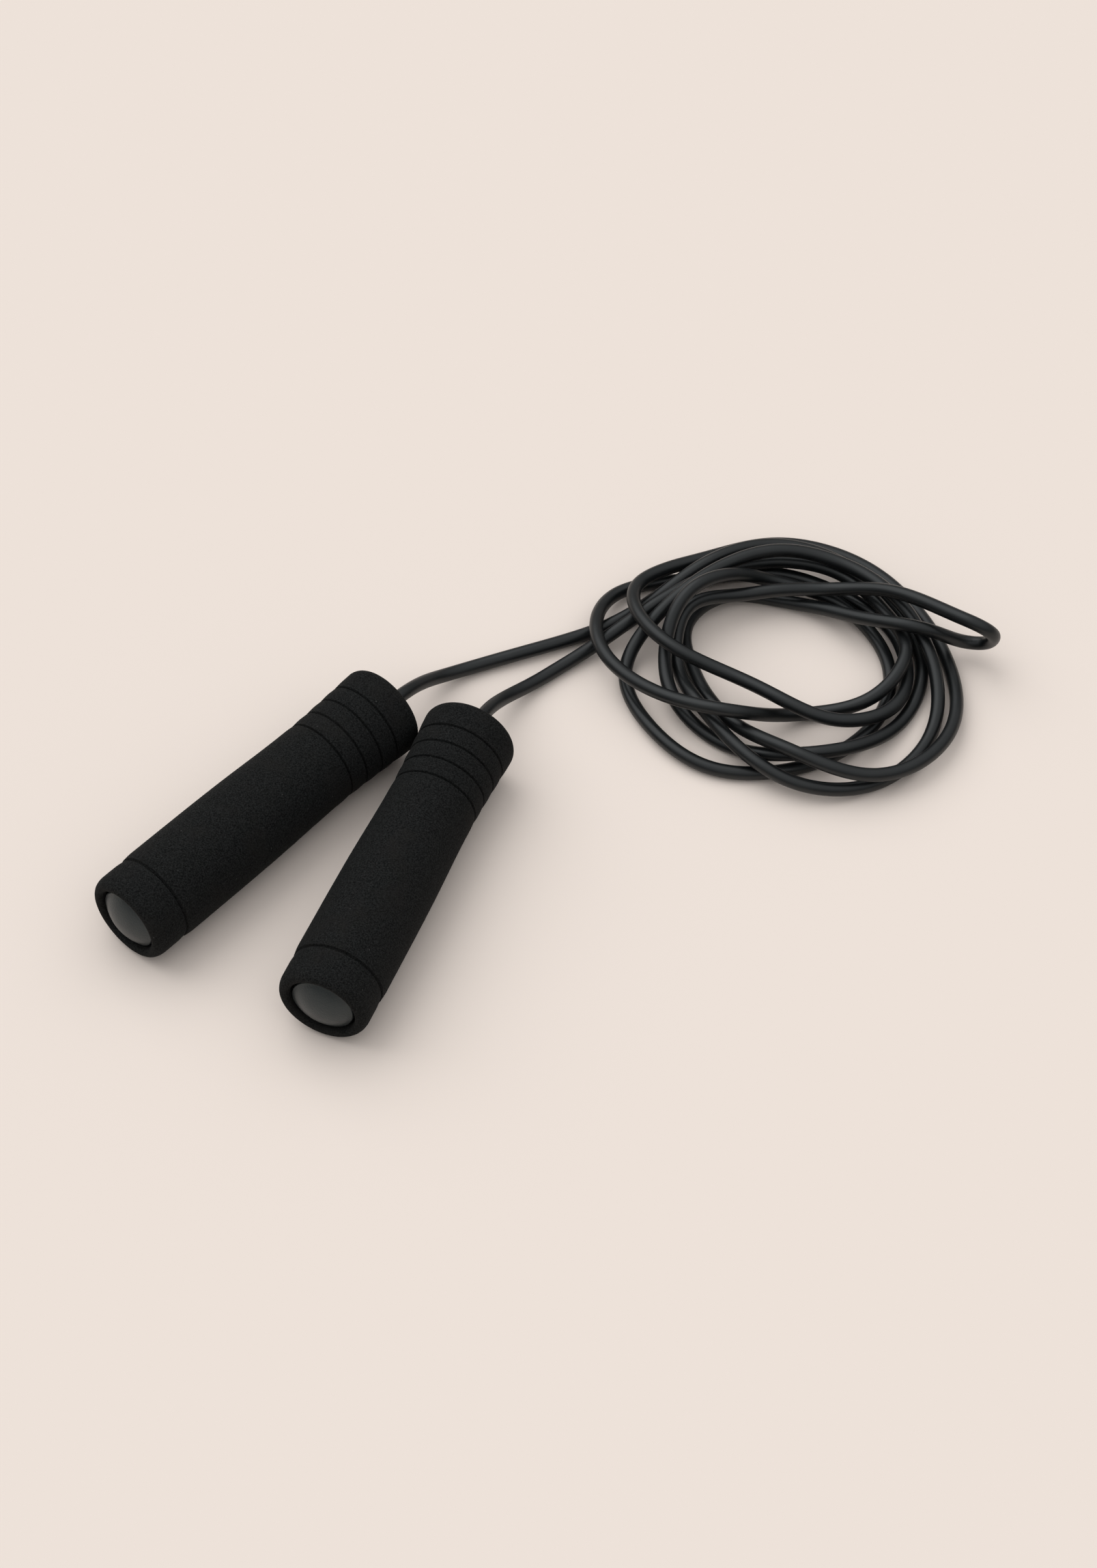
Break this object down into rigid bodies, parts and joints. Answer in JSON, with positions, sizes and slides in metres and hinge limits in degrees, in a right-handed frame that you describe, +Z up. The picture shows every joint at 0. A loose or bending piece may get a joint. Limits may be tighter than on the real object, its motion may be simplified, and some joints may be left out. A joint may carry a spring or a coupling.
{
  "type": "jump rope",
  "caption": "Jump rope: grooved foam handles with domed end caps, free to spin on ball bearings at the ends of a smooth plastic rope that lies gathered in loose loops.",
  "frame": {"origin": "on the floor, under the middle of the box of the two handles", "axes": "+Z up from the floor, +Y away from the picture's camera, +X to its right"},
  "size_m": [0.3182, 0.2266, 0.0342],
  "materials": {
    "rope": "satin",
    "foam": "matte",
    "cap": "satin",
    "core": "matte",
    "steel": "ground",
    "cage": "matte",
    "stop": "plain"
  },
  "bodies": {
    "rope": {"rope_lead_left": "rope", "rope_coil": "rope", "rope_lead_right": "rope", "left_bearing_inner_ring": "steel", "left_thrust_washer": "steel", "left_rope_stop": "stop", "left_stop_screw": "steel", "right_bearing_inner_ring": "steel", "right_thrust_washer": "steel", "right_rope_stop": "stop", "right_stop_screw": "steel"},
    "left_handle": {"left_foam_grip": "foam", "left_core_tube": "core", "left_end_cap": "cap", "left_bearing_outer_ring": "steel"},
    "left_ball_set": {"left_bearing_cage": "cage", "left_bearing_ball_1": "steel", "left_bearing_ball_2": "steel", "left_bearing_ball_3": "steel", "left_bearing_ball_4": "steel", "left_bearing_ball_5": "steel", "left_bearing_ball_6": "steel", "left_bearing_ball_7": "steel"},
    "right_handle": {"right_foam_grip": "foam", "right_core_tube": "core", "right_end_cap": "cap", "right_bearing_outer_ring": "steel"},
    "right_ball_set": {"right_bearing_cage": "cage", "right_bearing_ball_1": "steel", "right_bearing_ball_2": "steel", "right_bearing_ball_3": "steel", "right_bearing_ball_4": "steel", "right_bearing_ball_5": "steel", "right_bearing_ball_6": "steel", "right_bearing_ball_7": "steel"}
  },
  "joints": [
    {"name": "left_handle_spin", "type": "hinge", "parent": "rope", "child": "left_handle", "pos_m": [-0.06094, -0.03186, 0.0171], "axis": [0.6791, 0.7341, 0], "continuous": true},
    {"name": "left_ball_orbit", "type": "hinge", "parent": "rope", "child": "left_ball_set", "pos_m": [-0.06094, -0.03186, 0.0171], "axis": [0.6791, 0.7341, 0], "continuous": true},
    {"name": "right_handle_spin", "type": "hinge", "parent": "rope", "child": "right_handle", "pos_m": [0.00711, -0.0678, 0.0171], "axis": [0.3869, 0.9221, 0], "continuous": true},
    {"name": "right_ball_orbit", "type": "hinge", "parent": "rope", "child": "right_ball_set", "pos_m": [0.00711, -0.0678, 0.0171], "axis": [0.3869, 0.9221, 0], "continuous": true}
  ],
  "couplings": [
    {"joint": "left_ball_orbit", "follows": "left_handle_spin", "ratio": 0.619},
    {"joint": "right_ball_orbit", "follows": "right_handle_spin", "ratio": 0.619}
  ]
}
